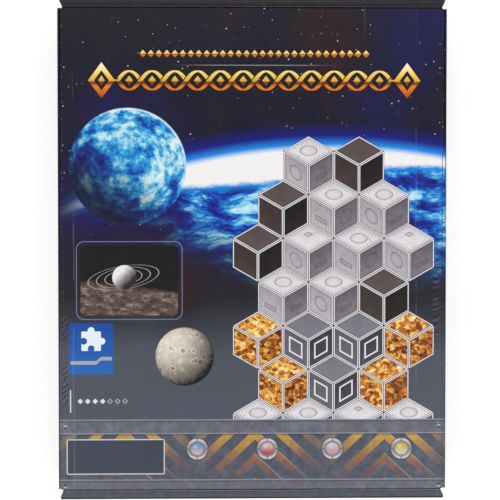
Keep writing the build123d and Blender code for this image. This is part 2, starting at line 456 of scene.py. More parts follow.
def paintTitle(paint, x, y):
    # a two-strand braid with a bead in each eye, between two lozenges, under a row of small ones
    x, along = fromMiddle(title, x, y)
    around = 2 * math.pi / title["period"]
    slope = paint.math("COSINE", x * around)
    sway = paint.math("SINE", x * around) * title["swing"] * paint.math("SIGN", slope)
    slant = (1 + slope * slope * (title["swing"] * around) ** 2) ** 0.5
    stroke = title["thin"] + (title["thick"] - title["thin"]) * abs(slope)
    over = abs(along - sway) / slant - stroke
    under = abs(along + sway) / slant - stroke
    shape = paint.lowest(over, paint.highest(under, title["gap"] - over))
    fromEye = paint.math("PINGPONG", x - title["period"] / 4, title["period"] / 4)
    shape = paint.lowest(shape, paint.lozenge(fromEye, along, *title["bead"]))
    shape = paint.highest(shape, abs(x) - title["halfWide"])
    fromFinial = abs(x) - title["finialX"]
    joint = (title["halfWide"] + title["finialX"] - title["finial"][0]) / 2
    thread = paint.highest(abs(along) - title["thread"], abs(abs(x) - joint) - title["threadHalf"])
    finial = paint.lozenge(fromFinial, along, *title["finial"])
    ring = paint.highest(finial, -paint.lozenge(fromFinial, along, *title["hollow"]))
    jewel = paint.lozenge(fromFinial, along, *title["jewel"])
    shape = paint.lowest(paint.lowest(shape, thread), paint.lowest(ring, jewel))
    paint.lay(paint.fill(shape - 0.8, 0.7) * 0.8, title["outline"])
    paint.lay(paint.fill(shape), paint.shades(along / title["tall"] + 0.5, title["gold"]))

    rule = paint.line(y - title["ruleY"], title["ruleWide"], 0.4) * paint.fade(abs(x), *title["ruleFade"])
    paint.lay(rule * 0.7, title["rule"])
    rise = y - title["rowY"]
    small = paint.lozenge(paint.math("PINGPONG", x, title["rowPitch"] / 2), rise, *title["rowLozenge"])
    small = paint.highest(small, abs(x) - title["rowHalf"])
    tone = rise / (2 * title["rowLozenge"][1]) + 0.5
    paint.lay(paint.fill(small), paint.shades(tone, title["gold"]))


inset = {
    "x": -76, "y": -19, "wide": 60, "tall": 43, "corner": 3.2, "margin": 2.5, "lineWide": 0.5,
    "ball": {"x": -3, "y": 2, "radius": 7.5}, "ringWide": 0.55, "ringTilt": 0.18,
    "rings": ((12, 2.6), (17.5, 2.9), (23, 3.2)),  # radius, and how flat it is seen
    "back": (40, 37, 40), "line": (150, 160, 205), "ring": (196, 190, 188),
    "soil": {0.3: (58, 50, 48), 0.52: (98, 84, 78), 0.72: (160, 146, 136)},
    "stone": {0.1: (60, 56, 58), 0.5: (150, 144, 144), 0.9: (232, 228, 226)},
}


def paintInset(paint, x, y):
    # a dark rounded window with rings round a small sphere, in a thin frame
    across, along = fromMiddle(inset, x, y)
    wide, tall, more = inset["wide"], inset["tall"], 2 * inset["margin"]
    frameLine = paint.roundedBox(across, along, wide + more, tall + more, inset["corner"] + 1.5)
    paint.lay(paint.line(frameLine, inset["lineWide"]) * 0.55, inset["line"])
    window = paint.fill(paint.roundedBox(across, along, wide, tall, inset["corner"]))
    paint.lay(window, inset["back"])
    ground = paint.fade(along + 0.12 * across + 5 * paint.noise(x, y, 12, 3, 0.6), 0, -3) * window
    soil = paint.noise(x, y * 1.8, 5, 4, 0.7, seed=2.4)
    paint.lay(ground, paint.shades(soil, inset["soil"]))
    aside, above = fromMiddle(inset["ball"], across, along)
    ball = paint.length(aside, above) - inset["ball"]["radius"]
    rings = 0
    for radius, squeeze in inset["rings"]:
        ring = paint.length(aside + along * 0.35, (above - aside * inset["ringTilt"]) * squeeze) - radius
        rings = paint.highest(rings, paint.line(ring, inset["ringWide"]))
    paint.lay(rings * window * 0.75, inset["ring"])
    light = 0.5 + (above - aside) / 14 + (paint.noise(x, y, 2.5, 3) - 0.5) * 0.3
    paint.lay(paint.fill(ball) * window, paint.shades(light, inset["stone"]))


badge = {
    "x": -99.6, "y": -61, "wide": 27.4, "tall": 31.6, "corner": 1.8,
    "inks": {0: (50, 106, 182), 1: (26, 78, 152)},  # from its foot to its top
    "pieceUp": 4.6, "piece": 12, "pieceCorner": 0.6, "knob": 2.1, "pieceInk": (226, 232, 240),
    "knobs": ((6.6, 0, 1), (0, 6.6, 1), (-4.6, 0, -1), (0, -4.6, -1)),  # centre, and whether it stands out
    "barDown": 8.8, "barHalf": 1.1, "barIn": 1, "step": 2.6, "stepRun": (2.6, 6.4), "barInk": (166, 168, 172),
}


def paintBadge(paint, x, y):
    # a plain blue badge with one jigsaw piece over a stepped grey bar
    across, along = fromMiddle(badge, x, y)
    shape = paint.fill(paint.roundedBox(across, along, badge["wide"], badge["tall"], badge["corner"]))
    paint.lay(shape, paint.shades(along / badge["tall"] + 0.5, badge["inks"]))
    rise = along - badge["pieceUp"]
    piece = paint.roundedBox(across, rise, badge["piece"], badge["piece"], badge["pieceCorner"])
    for knobX, knobY, grows in badge["knobs"]:
        knob = paint.length(across - knobX, rise - knobY) - badge["knob"]
        piece = paint.lowest(piece, knob) if grows > 0 else paint.highest(piece, -knob)
    paint.lay(paint.fill(piece), badge["pieceInk"])
    step = paint.fade(across, *badge["stepRun"]) * badge["step"]
    bar = abs(along + badge["barDown"] - step) - badge["barHalf"]
    bar = paint.highest(bar, abs(across) - badge["wide"] / 2 + badge["barIn"])
    paint.lay(paint.fill(bar), badge["barInk"])


pips = {
    "ruleX": -112.4, "top": -86.6, "foot": -100.6, "ruleHalf": 0.35, "pale": (214, 217, 224),
    "x": -106.4, "pitch": 4.6, "count": 7, "filled": 4, "size": 1.7,
}


def paintPips(paint, x, y):
    # a short upright rule and a row of lozenges, the first of them filled
    rise = abs(y - (pips["top"] + pips["foot"]) / 2)
    rule = paint.highest(abs(x - pips["ruleX"]) - pips["ruleHalf"], rise - (pips["top"] - pips["foot"]) / 2)
    paint.lay(paint.fill(rule), pips["pale"])
    pitch = pips["pitch"]
    along = x - pips["x"]
    lozenge = (paint.math("PINGPONG", along, pitch / 2) + rise - pips["size"]) * 0.7
    inRow = (along > -pitch / 2) * (along < pitch * (pips["count"] - 0.5))
    outline = paint.line(lozenge + 0.2, 0.4)
    filled = paint.fill(lozenge) * (along < pitch * (pips["filled"] - 0.5))
    paint.lay(inRow * paint.highest(outline * 0.7, filled), pips["pale"])


band = {
    "railTop": -105.3, "railFoot": -114.0, "footTop": -142.5, "period": 80.4, "peak": 1.3,
    "slope": 0.945, "stripePitch": 15.3, "stripe": 6.6, "stripeFoot": -132.9,
    "weak": (38, 16), "low": (-117, -145),  # where the stripes are faint: between peaks and towards the foot
    "slate": {0.32: (72, 77, 88), 0.68: (99, 103, 115)}, "glint": (206, 200, 196),
    "stripeInks": {0.05: (106, 84, 80), 0.5: (166, 112, 66), 0.95: (200, 158, 66)},
    "rail": {0.3: (88, 92, 104), 0.7: (120, 122, 132)}, "rust": (112, 98, 98),
    "light": (142, 146, 156), "dark": (58, 62, 72),
}


def paintBand(paint, x, y):
    # worn metal rails over and under a field of chevron stripes
    railTop, railFoot, footTop = band["railTop"], band["railFoot"], band["footTop"]
    grain = paint.noise(x, y, 7, 4, 0.74, seed=4.0)
    inBand = paint.fill(y - railTop, 0.2)
    paint.lay(inBand, paint.shades(grain, band["slate"]))

    fromPeak = paint.math("PINGPONG", x - band["peak"], band["period"] / 2)
    level = y + fromPeak * band["slope"] - band["stripeFoot"]
    phase = paint.math("WRAP", level, band["stripePitch"], 0)
    stripe = paint.fill(abs(phase - band["stripe"] / 2) - band["stripe"] / 2, 0.4)
    weak = paint.fade(fromPeak, *band["weak"]) * 0.7 + 0.25
    low = paint.fade(y, *band["low"])
    scuffs = paint.fade(paint.noise(x, y, 5, 4, 0.8, seed=8.4), 0.4, 0.62)
    tone = (y - footTop) / (railFoot - footTop) + (grain - 0.5) * 0.7
    inField = inBand * paint.fill(y - railFoot, 0.2) * (1 - paint.fill(y - footTop, 0.2))
    cover = weak * (0.75 + 0.25 * scuffs) * (1 - low * 0.5)
    paint.lay(stripe * inField * cover, paint.shades(tone, band["stripeInks"]))
    rising = paint.math("WRAP", x - band["peak"], band["period"], 0) < band["period"] / 2
    edge = paint.line(phase - band["stripe"] * rising, 0.3)
    paint.lay(edge * inField * (0.35 + 0.5 * rising) * weak, band["glint"])

    upper = paint.fill(abs(y - (railTop + railFoot) / 2) - (railTop - railFoot) / 2, 0.2)
    rails = paint.highest(upper, paint.fill(y - footTop, 0.2))
    paint.lay(rails, paint.shades(grain, band["rail"]))
    rust = paint.fade(paint.noise(x, y * 1.4, 22, 4, 0.65, seed=5.2), 0.46, 0.7)
    paint.lay(rails * rust * 0.55, band["rust"])
    light = dark = 0
    for height in (railTop, railFoot + 0.3, footTop):
        light = paint.highest(light, paint.line(y - height, 0.7, 0.4))
        dark = paint.highest(dark, paint.line(y - height + 0.9, 0.6, 0.5))
    paint.lay(light * 0.85, band["light"])
    paint.lay(dark * 0.7, band["dark"])


plate = {
    "x": -84.65, "y": -128.05, "wide": 59.9, "tall": 21.3, "corner": 0.6, "lineWide": 0.6,
    "back": (70, 75, 87), "line": (206, 208, 212),
}
buttons = {
    "y": -123.4, "radius": 6.5, "at": (-34.3, 9.1, 49.4, 92.3),
    "lens": (  # each button's colour at its foot and at its top
        ((206, 176, 184), (104, 146, 200)), ((190, 76, 82), (206, 178, 180)),
        ((190, 150, 154), (206, 196, 200)), ((204, 200, 176), (196, 180, 70)),
    ),
    "shade": (52, 56, 64), "ring": (202, 202, 206), "notch": (96, 98, 106), "groove": (72, 72, 80),
    "bezel": (160, 158, 164), "spot": (232, 232, 234),
}
hooks = {
    "x": -0.1, "away": 115.6, "tops": -109.6, "feet": -146.3, "radius": 0.85,
    "shade": (48, 54, 64), "lit": (212, 214, 220),
}


def paintPlate(paint, x, y):
    # a blank plate in a pale line
    shape = paint.roundedBox(*fromMiddle(plate, x, y), plate["wide"], plate["tall"], plate["corner"])
    paint.lay(paint.fill(shape), plate["back"])
    paint.lay(paint.line(shape, plate["lineWide"]), plate["line"])


def paintButtons(paint, x, y):
    # four round buttons, drawn once about the nearest one's middle and with its lens
    place = buttons["at"][0]
    lens = buttons["lens"][0]
    for last, after, colours in zip(buttons["at"], buttons["at"][1:], buttons["lens"][1:]):
        isNext = x > (last + after) / 2
        place = isNext * (after - last) + place
        lens = [paint.mix(isNext, colour, other) for colour, other in zip(lens, colours)]
    across = x - place
    along = y - buttons["y"]
    reach = paint.length(across, along) - buttons["radius"]
    lit = paint.fade(abs(along), 1.5, 5.5) * 0.5 + 0.5
    look = paint.mix(paint.fill(reach) * lit, buttons["shade"], buttons["ring"])
    turn = paint.math("PINGPONG", paint.math("ARCTAN2", along, across), math.pi / 4)
    look = paint.mix(paint.fill(turn * 6 - 0.35), look, buttons["notch"])
    look = paint.mix(paint.fill(reach + 1.5), look, buttons["groove"])
    look = paint.mix(paint.line(reach + 2.0, 0.5), look, buttons["bezel"])
    look = paint.mix(paint.fill(reach + 2.6, 0.5), look, paint.mix(paint.fade(along, -3, 3), *lens))
    spot = paint.fade(paint.length(across + 1.1, along - 1.4), 1.8, 0.3)
    look = paint.mix(spot * 0.4, look, buttons["spot"])
    paint.lay(paint.fill(reach - 0.5, 0.9) * 0.9, look)


def paintHooks(paint, x, y):
    # a small bright arc at each end of the rails
    half = (hooks["tops"] - hooks["feet"]) / 2
    out = abs(y - hooks["tops"] + half) - half
    reach = paint.length(abs(x - hooks["x"]) - hooks["away"], out) - hooks["radius"]
    paint.lay(paint.fill(reach - 0.4, 0.5) * 0.7, hooks["shade"])
    paint.lay(paint.line(reach, 0.5, 0.4) * paint.fill(-out, 0.6), hooks["lit"])


# The board's surfaces

finish = {
    "gloss": 0.24, "glossSpread": 0.12, "uncoated": 0.75,  # roughness
    "flutePitch": 2.6, "washboard": 0.006,  # how far the flutes telegraph through the face, in mm
    "slack": 0.25,  # height of the film's wide waves
    "shadowGapSheen": 0.8,  # takes the gloss off the painted shadow line at a cut end, so that it shows dark
    "wrinkle": 0.12,  # height of the film's short wrinkles
    "gathers": ((-118.6, 1, -26, -104, -0.9), (116.0, -1, 0, -68, 0.15)),  # x, way in, top, foot, slant
    # the ticks' two colours are painted shade and painted glint on the film's wrinkles
    "tickPitch": 3.6, "tickShade": (26, 30, 40), "tickGlint": (118, 122, 132),
    "streaks": (-108.6, 70.2, 102.4),  # where the film's long creases run up the front
    "specular": 0.4, "wrapSpecular": 0.2, "endSpecular": 0.12,
    "topEnd": {0.3: (56, 55, 58), 0.7: (64, 63, 66)}, "footEnd": {0.3: (83, 87, 99), 0.7: (97, 101, 114)},
    "paper": {0.3: (168, 164, 156), 0.55: (192, 188, 180), 0.75: (208, 204, 197)},
    "core": {0.3: (118, 114, 107), 0.7: (164, 160, 152)},
    # the last two colours are painted shade: along the folds, and in the gap at the front panel's cut ends
    "rawEdge": (186, 180, 170), "wear": (150, 150, 154), "fold": (26, 28, 34), "shadowGapInk": (20, 22, 26),
}


def fluteWave(paint, x):
    return paint.math("SINE", x * (2 * math.pi / finish["flutePitch"]))


def glossCoat(paint, x, y, specular, wrinkles=None):
    # the film over the print: faint washboarding over the flutes, drawn tight, with wrinkles at the edges
    uneven = paint.noise(x, y, 14, 3, 0.6, seed=11.0)
    height = fluteWave(paint, x) * finish["washboard"] * uneven
    height = height + paint.noise(x, y * 0.5, 32, 2, seed=12.0) * finish["slack"]
    if wrinkles:
        height = height + wrinkles * finish["wrinkle"]
    roughness = finish["gloss"] + finish["glossSpread"] * uneven
    paint.set({"Base Color": paint.picture, "Roughness": roughness, "Specular IOR Level": specular})
    paint.bump(height)


def filmWrinkles(paint, x, y):
    # short ticks across the film where it is gathered: low on the left edge, higher on the right
    ticks = 0
    for edge, inward, top, foot, slant in finish["gathers"]:
        reach = (x - edge) * inward
        length = 3.0 + 3.5 * paint.noise(0.0, y, 6, 1, seed=edge)
        near = paint.fade(reach, -0.2, 0.8) * paint.fade(reach, length + 1, length - 1)
        near = near * paint.fade(y, foot, foot + 12) * paint.fade(y, top, top - 12)
        near = near * paint.fade(paint.noise(0.0, y, 6, 2, seed=edge + 8), 0.36, 0.56)
        sway = 9 * paint.noise(0.0, y, 16, 3, seed=edge + 3)
        wave = paint.math("SINE", (y + reach * slant + sway) * (2 * math.pi / finish["tickPitch"]))
        ticks = near * wave + ticks
    return ticks


def frontMaterial():
    paint = Paint("glossPrintFront")
    x, y = paint.x, paint.y
    paintSky(paint, x, y)
    paintStars(paint, x, y, 0)
    for layer in (
        paintPlanet, paintGlobe, paintInset, paintMoon, paintBlocks, paintTitle, paintBadge, paintPips,
        paintBand, paintPlate, paintButtons, paintHooks,
    ):
        layer(paint, x, y)
    foldShadeWeight = paint.fade(x + y, -30, 110) * 0.45 + 0.25  # painted shade along the long folds, strongest high up and on the right
    paint.lay(paint.line(abs(x) - foldLine + 0.3, 0.6, 0.6) * foldShadeWeight, finish["fold"])
    # painted shadow of the gap at each cut end; Metallic takes the gloss off it so that it shows dark
    shadowGap = paint.fade(abs(y), cutEnd - 1.6, cutEnd - 0.9)
    paint.lay(shadowGap * 0.95, finish["shadowGapInk"])
    paint.set({"Metallic": shadowGap * finish["shadowGapSheen"]})
    ticks = filmWrinkles(paint, x, y)
    # painted shade and painted glint on the film's wrinkles, over their bump
    paint.lay(paint.fade(ticks, 0.35, 0.9) * 0.75, finish["tickShade"])
    paint.lay(paint.fade(ticks, -0.6, -1.0) * 0.25, finish["tickGlint"])
    nicks = paint.fade(paint.noise(x, y, 1.5, 3, 0.8, seed=21.0), 0.58, 0.66)
    paint.lay(nicks * paint.line(abs(x) - foldLine, 1.5, 0.8) * 0.9, finish["wear"])
    streaks = 0
    for place in finish["streaks"]:
        streak = paint.line(x - place + 3 * paint.noise(0.0, y, 90, 2, seed=place), 0.35, 0.7)
        streaks = paint.highest(streaks, streak * paint.fade(paint.noise(x, y, 40, 3, seed=place), 0.45, 0.6))
    paint.lay(streaks * 0.2, finish["wear"])
    glossCoat(paint, x, y, finish["specular"], ticks + streaks)
    return paint.material


def wrapMaterial():
    # round the sides and back: print outside, bare paper inside, and the board's pale cut edge between
    paint = Paint("glossPrintWrap")
    x, y, z = paint.x, paint.y, paint.z
    onSide = abs(x) > halfWidth - 1
    half = depth / 2
    isLow = z < half
    around = paint.math("SIGN", x) * (halfWidth + depth - z)
    flat = x + isLow * 2 * halfWidth
    across = flat + (around - flat) * onSide
    paintSky(paint, across, y)
    paintStars(paint, across, y, 0)
    paintPlanet(paint, across, y)
    paintBand(paint, across, y)
    level = abs(z - half)
    fold = paint.fade(level, half - 4.5, half - 2.6) * paint.fade(level, half - 0.1, half - 1.2)
    fold = fold * (0.85 - 0.62 * paint.fade(x, -60, 60) * paint.fade(y, 60, -20))  # painted shade along the rolled edges, fainter low on the right
    paint.lay(fold, finish["fold"])
    wear = paint.fade(paint.noise(across, y, 5, 4, 0.75, seed=3.0), 0.62, 0.76)
    rounded = paint.roundedBox(x, z - half, 2 * halfWidth, depth, foldRadius)
    inward = paint.highest(paint.highest(abs(x) - halfWidth, level - half), rounded)
    onFold = paint.fade(abs(abs(x) - halfWidth) + abs(level - half), 4, 1)
    paint.lay(wear * onFold * 0.4, finish["wear"])
    printed = paint.fill(-inward - 0.4, 0.1)
    paper = paperTone(paint, across, y)
    raw = paint.fill(inward + board - 0.25, 0.1)
    paint.picture = paint.mix(printed, paint.mix(raw, finish["rawEdge"], paper), paint.picture)
    glossCoat(paint, across, y, finish["wrapSpecular"])
    return paint.material


def endMaterial():
    # closures and dust flaps: the colour of the print at their end of the carton, with painted shade along
    # the fold
    paint = Paint("glossPrintEnd")
    x, y, z = paint.x, paint.y, paint.z
    grain = paint.noise(x, y + z, 8, 4, 0.7, seed=2.0)
    paint.picture = paint.shades(grain, finish["topEnd"])
    paintStars(paint, x, z, -30)
    paint.lay(paint.fade(y, 20, -20), paint.shades(grain, finish["footEnd"]))
    # painted shade at the outer fold of each closure and flap
    fold = paint.fade(abs(y), closureHigh.y - 1.5, closureHigh.y - 0.7) * paint.fade(z, depth - 12, depth - 6)
    paint.lay(fold * 0.95, finish["fold"])
    glossCoat(paint, x, z, finish["endSpecular"])
    return paint.material


def paperTone(paint, x, y):
    fibre = paint.noise(x * 3, y, 3, 6, 0.7, seed=1.0)
    return paint.shades(fibre, finish["paper"])


def paperMaterial():
    # the bare inner liner
    paint = Paint("bareLiner")
    x, y = paint.x, paint.y + paint.z
    paint.set({"Base Color": paperTone(paint, x, y), "Roughness": finish["uncoated"]})
    paint.bump(fluteWave(paint, x) * 0.012 + paint.noise(x, y, 0.8, 3, 0.7) * 0.05)
    return paint.material


def coreMaterial():
    # the fluted sheet between the liners
    paint = Paint("flutedCore")
    x, y = paint.x, paint.y + paint.z
    fibre = paint.noise(x, y, 1.2, 5, 0.7, seed=4.0)
    paint.set({"Base Color": paint.shades(fibre, finish["core"]), "Roughness": finish["uncoated"]})
    return paint.material


materials = [frontMaterial(), endMaterial(), paperMaterial(), coreMaterial()]
frontPrint, endPrint, bare, core = range(len(materials))  # a board's material slots
wrapPrint = wrapMaterial()
print("materials made")


def addObject(name, data):
    made = bpy.data.objects.new(name, data)
    bpy.context.scene.collection.objects.link(made)
    return made


# Boards of two liners on a fluted core

plies = {"liner": 0.32, "coreInset": 0.6, "linerShort": 0.3, "sharp": 35}
flutes = {"pitch": finish["flutePitch"], "sheet": 0.2, "run": 4.0, "steps": 8, "setback": 0.06}
fluteBack = flutes["run"] / 2 + flutes["setback"]  # from a cut end to the middle of its row
quarterRoll = math.pi / 4 * board  # outside length of a crease's roll, from the flat to its foot


def outlineOf(node, axis, level, across, along):
    # the outline of a CAD node's flat face at that level, as points across and along it
    solid = bmesh.new()
    solid.from_mesh(frame["nodes"][node].data)
    bmesh.ops.remove_doubles(solid, verts=solid.verts, dist=1e-6)
    flat = [
        face for face in solid.faces
        if all(abs(vert.co[axis] / mm - level) < 1e-3 for vert in face.verts)
    ]
    following = {}
    for face in flat:
        for corner in face.loops:
            if sum(beside in flat for beside in corner.edge.link_faces) == 1:
                following[corner.vert] = corner.link_loop_next.vert
    start = next(iter(following))
    points = [start]
    while following[points[-1]] is not start:
        points.append(following[points[-1]])
    points = [(vert.co[across] / mm, vert.co[along] / mm) for vert in points]
    solid.free()
    return points


def bisect(flat, along, **options):
    everything = flat.verts[:] + flat.edges[:] + flat.faces[:]
    bmesh.ops.bisect_plane(flat, geom=everything, plane_co=(0, along, 0), dist=1e-5, **options)


def addSheet(bm, outline, cuts, keep, between, place, skins):
    # one closed sheet: the outline at two depths, cut where it bends and where it ends
    flat = bmesh.new()
    flat.faces.new([flat.verts.new((across, along, 0)) for across, along in outline])
    for along in cuts:
        bisect(flat, along, plane_no=(0, 1, 0))
    bisect(flat, keep[0], plane_no=(0, -1, 0), clear_outer=True)
    bisect(flat, keep[1], plane_no=(0, 1, 0), clear_outer=True)
    outer, inner = {}, {}
    for skin, down in zip((outer, inner), between):
        for vert in flat.verts:
            skin[vert] = bm.verts.new(place(vert.co.x, vert.co.y, down) * mm)
    outerSkin, innerSkin, edgeSkin = skins
    for face in flat.faces:
        bm.faces.new([outer[vert] for vert in face.verts]).material_index = outerSkin
        bm.faces.new([inner[vert] for vert in reversed(face.verts)]).material_index = innerSkin
    for side in flat.edges:
        if len(side.link_faces) == 1:
            first, second = side.verts
            wall = [outer[second], outer[first], inner[first], inner[second]]
            bm.faces.new(wall).material_index = edgeSkin
    flat.free()


def addPiece(name, bm, body, nodes=()):
    bmesh.ops.recalc_face_normals(bm, faces=bm.faces)
    for side in bm.edges:
        side.smooth = side.calc_face_angle(math.pi) < math.radians(plies["sharp"])
    for face in bm.faces:
        face.smooth = True
    mesh = bpy.data.meshes.new(name)
    bm.to_mesh(mesh)
    bm.free()
    for material in materials:
        mesh.materials.append(material)
    piece = addObject(name, mesh)
    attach(piece, body)
    if nodes:
        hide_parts(*nodes)
    print(name, len(mesh.polygons), "faces")


def makeBoard(name, body, nodes, outline, cuts, cutEnds, place, skin):
    # cutEnds are the ends along the board that the cutting rule left open, -1 the low one and 1 the high one,
    # each with how far the outer liner stops short of the inner one there
    acrosses = [across for across, _ in outline]
    alongs = [along for _, along in outline]
    middle = (min(acrosses) + max(acrosses)) / 2
    narrow = 1 - plies["coreInset"] / (max(acrosses) - middle)
    slim = [(middle + (across - middle) * narrow, along) for across, along in outline]

    def reach(shorts, closedShort=0.0):
        return min(alongs) + shorts.get(-1, closedShort), max(alongs) - shorts.get(1, closedShort)

    liner = plies["liner"]
    coreReach = reach(dict.fromkeys(cutEnds, flutes["run"]), quarterRoll)
    bm = bmesh.new()
    addSheet(bm, outline, cuts, reach(cutEnds), (0, liner), place, (skin, bare, bare))
    addSheet(bm, slim, cuts, coreReach, (liner, board - liner), place, (core, core, core))
    addSheet(bm, outline, cuts, reach({}), (board - liner, board), place, (bare, bare, bare))
    addPiece(name, bm, body, nodes)


def fluteTree():
    # a row of flutes: one wave of the sheet, repeated by its pitch, about the middle of the row
    tree = bpy.data.node_groups.new("fluteRow", "GeometryNodeTree")
    tree.interface.new_socket("Geometry", in_out="OUTPUT", socket_type="NodeSocketGeometry")
    kinds = dict.fromkeys(("Pitch", "Height", "Run", "Sheet"), "Float")
    kinds |= {"Count": "Int", "Material": "Material"}
    for name, kind in kinds.items():
        tree.interface.new_socket(name, in_out="INPUT", socket_type="NodeSocket" + kind)
    graph = Graph(tree)
    inputs = tree.nodes.new("NodeGroupInput").outputs
    pitch, height, run, sheet, count, material = [Field(graph, inputs[name]) for name in kinds]
    steps = flutes["steps"]
    step = graph.at(pitch / steps)
    points = graph.node("GeometryNodeMeshLine", {"mode": "OFFSET"}, {"Count": steps + 1, "Offset": step})
    index = graph.node("GeometryNodeInputIndex")
    wave = graph.math("COSINE", index * (2 * math.pi / steps)) * height / 2
    points = graph.node("GeometryNodeSetPosition", None, {"Geometry": points, "Offset": graph.at(z=wave)})
    path = graph.node("GeometryNodeMeshToCurve", None, {0: points})
    values = {"Width": run, "Height": sheet}
    section = graph.node("GeometryNodeCurvePrimitiveQuadrilateral", {"mode": "RECTANGLE"}, values)
    values = {"Curve": path, "Profile Curve": section, "Fill Caps": True}
    flute = graph.node("GeometryNodeCurveToMesh", None, values)
    values = {"Count": count, "Offset": graph.at(pitch), "Start Location": graph.at(pitch * count / -2)}
    row = graph.node("GeometryNodeMeshLine", {"mode": "OFFSET"}, values)
    row = graph.node("GeometryNodeInstanceOnPoints", None, {"Points": row, "Instance": flute})
    row = graph.node("GeometryNodeRealizeInstances", None, {0: row})
    row = graph.node("GeometryNodeSetMaterial", None, {"Geometry": row, "Material": material})
    output = tree.nodes.new("NodeGroupOutput")
    graph.feed(output.inputs[0], row)
    return tree


fluteRow = fluteTree()


def makeFlutes(name, body, rows):
    # rows are (middle across, middle along, width, place)
    sockets = {item.name: item.identifier for item in fluteRow.interface.items_tree if item.in_out == "INPUT"}
    bm = bmesh.new()
    for across, along, width, place in rows:
        holder = addObject("row", bpy.data.meshes.new("row"))
        modifier = holder.modifiers.new("flutes", "NODES")
        modifier.node_group = fluteRow
        values = {
            "Count": int(width / flutes["pitch"]), "Pitch": flutes["pitch"], "Run": flutes["run"],
            "Height": board - 2 * plies["liner"] - flutes["sheet"], "Sheet": flutes["sheet"],
            "Material": materials[core],
        }
        for socket, value in values.items():
            modifier[sockets[socket]] = value
        evaluated = holder.evaluated_get(bpy.context.evaluated_depsgraph_get())
        mesh = bpy.data.meshes.new_from_object(evaluated)
        bpy.data.objects.remove(holder)
        for vert in mesh.vertices:
            vert.co = place(across + vert.co.x, along + vert.co.y, board / 2 - vert.co.z) * mm
        bm.from_mesh(mesh)
        bpy.data.meshes.remove(mesh)
    for face in bm.faces:
        face.material_index = core
    addPiece(name, bm, body)


# Front panel: its two cut ends are crushed by the cutting rule
front = {
    "crushTop": 0.12, "crushFoot": 0.45, "crushRun": 1.2, "crushSteps": 4,
    "shortTop": 0.3, "shortFoot": 0.6, "flutesIn": 3,
}


def placeFront(across, along, down):
    near = max(0, 1 - (cutEnd - abs(along)) / front["crushRun"])
    crush = front["crushTop"] if along > 0 else front["crushFoot"]
    down = down + crush * near**2 * (1 - down / board)
    return Vector((across, along, depth - down))


frontCuts = [
    side * (cutEnd - front["crushRun"] * step / front["crushSteps"])
    for side in (-1, 1) for step in range(1, front["crushSteps"] + 1)
]
frontOutline = outlineOf("front_panel", 2, frontLow.z, 0, 1)
makeBoard(
    "front_board", "sleeve", ["front_panel"],
    frontOutline, frontCuts, {-1: front["shortFoot"], 1: front["shortTop"]}, placeFront, frontPrint,
)
flutesWide = 2 * (foldLine - front["flutesIn"])
frontRows = [(0, side * (cutEnd - fluteBack), flutesWide, placeFront) for side in (-1, 1)]
makeFlutes("front_flutes", "sleeve", frontRows)


def hingeRoll(along, down):
    # out of a flap's middle and along it, where its crease rolls round the hinge
    out = board / 2 - down
    if along >= 0:
        return out, along
    turn = -along / (board / 2)
    return out * math.cos(turn), -abs(out) * math.sin(turn)


rollSteps = 5
rollCuts = [-quarterRoll * step / rollSteps for step in range(rollSteps + 1)]

# Closures: one board from the hinge's roll to the tuck flap's tip, bent round the hinge
closure = {
    "shoulderIn": 1.9, "shoulderRun": 3.9, "taper": 3.0, "corner": 8.0,
    "relief": 1.2, "reliefTall": 3.0, "tuckStep": 1.5, "foldSteps": 10,
}
hingeY, hingeZ = [part / mm for part in joints["top_closure_crease"]["pos_m"][1:]]
lean = math.radians(90 - joints["top_closure_crease"]["range_deg"][1])
foldOut = board / 2 - foldRadius


def upright(vert):
    # a point of the top closure about its hinge, out and up, before it leans
    y = vert.co.y / mm - hingeY
    z = vert.co.z / mm - hingeZ
    return y * math.cos(lean) - z * math.sin(lean), y * math.sin(lean) + z * math.cos(lean)


tuckPoints = [upright(vert) for vert in frame["nodes"]["top_tuck_flap"].data.vertices]
tuckRadius = max(math.hypot(*point) for point in tuckPoints)
tuckTip = max(math.atan2(-out, up) for out, up in tuckPoints)
tuckStart = math.asin(-foldOut / tuckRadius)
foldHeight = tuckRadius * math.cos(tuckStart) - foldRadius
tuckFrom = foldHeight + foldRadius * math.pi / 2
tuckEnd = tuckFrom + tuckRadius * (tuckTip - tuckStart)


def closurePath(along, down):
    if along <= foldHeight:
        return hingeRoll(along, down)
    if along <= tuckFrom:
        turn = (along - foldHeight) / foldRadius
        reach = foldRadius - down
        return foldOut + reach * math.cos(turn), foldHeight + reach * math.sin(turn)
    turn = tuckStart + (along - tuckFrom) / tuckRadius
    return (down - tuckRadius) * math.sin(turn), (tuckRadius - down) * math.cos(turn)


def closurePlace(end):
    def place(across, along, down):
        out, up = closurePath(along, down)
        y = hingeY + out * math.cos(lean) + up * math.sin(lean)
        return Vector((across, end * y, hingeZ - out * math.sin(lean) + up * math.cos(lean)))
    return place


def closureOutline():
    half = closureHigh.x
    narrow = half - closure["shoulderIn"]
    tip = narrow - closure["taper"]
    shoulder = math.asin((closure["shoulderRun"] - foldOut) / tuckRadius) - tuckStart
    radius = closure["corner"]
    corner = [
        (tip - radius * (1 - math.cos(turn)), tuckEnd - radius * (1 - math.sin(turn)))
        for turn in [math.radians(10 * step) for step in range(10)]
    ]
    right = [
        (half - closure["relief"], -quarterRoll), (half, closure["reliefTall"]), (half, tuckFrom),
        (narrow, tuckFrom + tuckRadius * shoulder), *corner,
    ]
    return right + [(-across, along) for across, along in reversed(right)]


